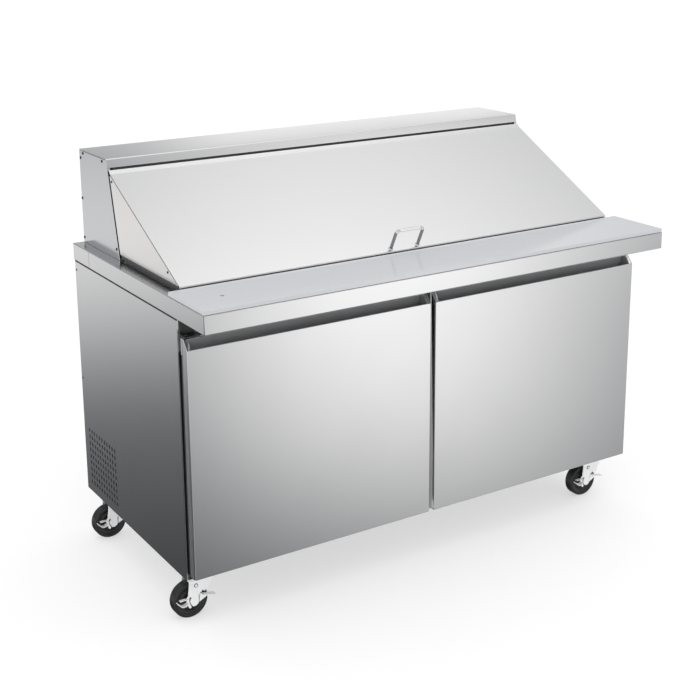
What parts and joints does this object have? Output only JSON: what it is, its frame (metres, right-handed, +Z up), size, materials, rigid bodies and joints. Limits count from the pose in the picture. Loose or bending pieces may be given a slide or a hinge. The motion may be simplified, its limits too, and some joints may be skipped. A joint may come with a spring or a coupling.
{
  "type": "sandwich prep table",
  "caption": "Refrigerated stainless food-preparation counter: hinged lid over sunken ingredient pans, front cutting board, insulated doors below, braked swivel casters.",
  "frame": {"origin": "bottom centre of the bounding box, on the floor under the four casters", "axes": "+X along the length, towards the user's right; +Y from the cutting board at the front to the hood at the back; +Z up"},
  "size_m": [1.5538, 0.864, 1.186],
  "materials": {
    "brushed_stainless": "brushed along the length",
    "bright_stainless": "drawn and polished",
    "zinc_plate": "bright zinc plate",
    "black_plastic": "moulded, fine texture",
    "black_rubber": "dull",
    "lined_insulation": "smooth liner over foam",
    "board_plastic": "smooth moulded sheet",
    "coated_wire": "dipped coating on steel wire",
    "black_enamel": "black enamel",
    "aluminium_fins": "mill"
  },
  "bodies": {
    "cabinet": {"left_side_panel": "brushed_stainless", "right_side_panel": "brushed_stainless", "base_plate": "brushed_stainless", "rear_panel": "brushed_stainless", "rear_machine_cover": "brushed_stainless", "front_frame": "brushed_stainless", "worktop": "brushed_stainless", "hood_left_side": "brushed_stainless", "hood_right_side": "brushed_stainless", "hood_rear_panel": "brushed_stainless", "hood_top_shelf": "brushed_stainless", "lid_hinge": "brushed_stainless", "evaporator_cover": "brushed_stainless", "pans_front_row": "bright_stainless", "pans_middle_row": "bright_stainless", "pans_rear_row": "bright_stainless", "caster_plate_front_left": "zinc_plate", "caster_plate_front_right": "zinc_plate", "caster_plate_rear_left": "zinc_plate", "caster_plate_rear_right": "zinc_plate", "pan_well_collar": "black_plastic", "left_top_hinge": "black_plastic", "left_bottom_hinge": "black_plastic", "right_top_hinge": "black_plastic", "right_bottom_hinge": "black_plastic", "power_gland": "black_plastic", "insulated_liner": "lined_insulation", "cutting_board": "board_plastic", "left_shelf": "coated_wire", "right_shelf": "coated_wire", "compressor": "black_enamel", "condenser_coil": "aluminium_fins"},
    "lid": {"lid_panel": "brushed_stainless", "lid_left_side": "brushed_stainless", "lid_right_side": "brushed_stainless", "lid_liner": "lined_insulation", "lid_handle": "bright_stainless"},
    "left_door": {"left_door_skin": "brushed_stainless", "left_door_grip": "black_plastic", "left_door_core": "black_plastic", "left_door_gasket": "black_rubber"},
    "right_door": {"right_door_skin": "brushed_stainless", "right_door_grip": "black_plastic", "right_door_core": "black_plastic", "right_door_gasket": "black_rubber"},
    "fork_front_left": {"caster_fork_front_left": "zinc_plate"},
    "wheel_front_left": {"caster_wheel_front_left": "black_plastic"},
    "brake_front_left": {"caster_brake_front_left": "zinc_plate"},
    "fork_front_right": {"caster_fork_front_right": "zinc_plate"},
    "wheel_front_right": {"caster_wheel_front_right": "black_plastic"},
    "brake_front_right": {"caster_brake_front_right": "zinc_plate"},
    "fork_rear_left": {"caster_fork_rear_left": "zinc_plate"},
    "wheel_rear_left": {"caster_wheel_rear_left": "black_plastic"},
    "brake_rear_left": {"caster_brake_rear_left": "zinc_plate"},
    "fork_rear_right": {"caster_fork_rear_right": "zinc_plate"},
    "wheel_rear_right": {"caster_wheel_rear_right": "black_plastic"},
    "brake_rear_right": {"caster_brake_rear_right": "zinc_plate"},
    "condenser_blower": {"condenser_fan": "black_plastic"},
    "evaporator_blower": {"evaporator_fan": "black_plastic"},
    "thermostat": {"thermostat_knob": "black_plastic"}
  },
  "joints": [
    {"name": "lid_hinge_pin", "type": "hinge", "parent": "cabinet", "child": "lid", "pos_m": [0.0119, 0.216, 1.152], "axis": [-1, 0, 0], "range_deg": [0, 120]},
    {"name": "left_door_hinge", "type": "hinge", "parent": "cabinet", "child": "left_door", "pos_m": [-0.7341, -0.287, 0.152], "axis": [0, 0, -1], "range_deg": [0, 95], "stiffness_Nm_per_rad": 0.5, "springref_deg": -17.19},
    {"name": "right_door_hinge", "type": "hinge", "parent": "cabinet", "child": "right_door", "pos_m": [0.7579, -0.287, 0.152], "axis": [0, 0, 1], "range_deg": [0, 95], "stiffness_Nm_per_rad": 0.5, "springref_deg": -17.19},
    {"name": "swivel_front_left", "type": "hinge", "parent": "cabinet", "child": "fork_front_left", "pos_m": [-0.6911, -0.222, 0.1115], "axis": [0, 0, 1], "continuous": true},
    {"name": "axle_front_left", "type": "hinge", "parent": "fork_front_left", "child": "wheel_front_left", "pos_m": [-0.7261, -0.222, 0.0508], "axis": [0, 1, 0], "continuous": true},
    {"name": "brake_lever_front_left", "type": "hinge", "parent": "fork_front_left", "child": "brake_front_left", "pos_m": [-0.7261, -0.222, 0.0508], "axis": [0, 1, 0], "range_deg": [0, 14]},
    {"name": "swivel_front_right", "type": "hinge", "parent": "cabinet", "child": "fork_front_right", "pos_m": [0.7149, -0.222, 0.1115], "axis": [0, 0, 1], "continuous": true},
    {"name": "axle_front_right", "type": "hinge", "parent": "fork_front_right", "child": "wheel_front_right", "pos_m": [0.6799, -0.222, 0.0508], "axis": [0, 1, 0], "continuous": true},
    {"name": "brake_lever_front_right", "type": "hinge", "parent": "fork_front_right", "child": "brake_front_right", "pos_m": [0.6799, -0.222, 0.0508], "axis": [0, 1, 0], "range_deg": [0, 14]},
    {"name": "swivel_rear_left", "type": "hinge", "parent": "cabinet", "child": "fork_rear_left", "pos_m": [-0.6911, 0.338, 0.1115], "axis": [0, 0, 1], "continuous": true},
    {"name": "axle_rear_left", "type": "hinge", "parent": "fork_rear_left", "child": "wheel_rear_left", "pos_m": [-0.7261, 0.338, 0.0508], "axis": [0, 1, 0], "continuous": true},
    {"name": "brake_lever_rear_left", "type": "hinge", "parent": "fork_rear_left", "child": "brake_rear_left", "pos_m": [-0.7261, 0.338, 0.0508], "axis": [0, 1, 0], "range_deg": [0, 14]},
    {"name": "swivel_rear_right", "type": "hinge", "parent": "cabinet", "child": "fork_rear_right", "pos_m": [0.7149, 0.338, 0.1115], "axis": [0, 0, 1], "continuous": true},
    {"name": "axle_rear_right", "type": "hinge", "parent": "fork_rear_right", "child": "wheel_rear_right", "pos_m": [0.6799, 0.338, 0.0508], "axis": [0, 1, 0], "continuous": true},
    {"name": "brake_lever_rear_right", "type": "hinge", "parent": "fork_rear_right", "child": "brake_rear_right", "pos_m": [0.6799, 0.338, 0.0508], "axis": [0, 1, 0], "range_deg": [0, 14]},
    {"name": "condenser_fan_shaft", "type": "hinge", "parent": "cabinet", "child": "condenser_blower", "pos_m": [-0.6281, 0.3055, 0.245], "axis": [1, 0, 0], "continuous": true},
    {"name": "evaporator_fan_shaft", "type": "hinge", "parent": "cabinet", "child": "evaporator_blower", "pos_m": [0.0119, 0.323, 0.635], "axis": [0, 1, 0], "continuous": true},
    {"name": "thermostat_spindle", "type": "hinge", "parent": "cabinet", "child": "thermostat", "pos_m": [0.2019, 0.2957, 0.56], "axis": [0, -1, 0], "range_deg": [0, 270]}
  ]
}
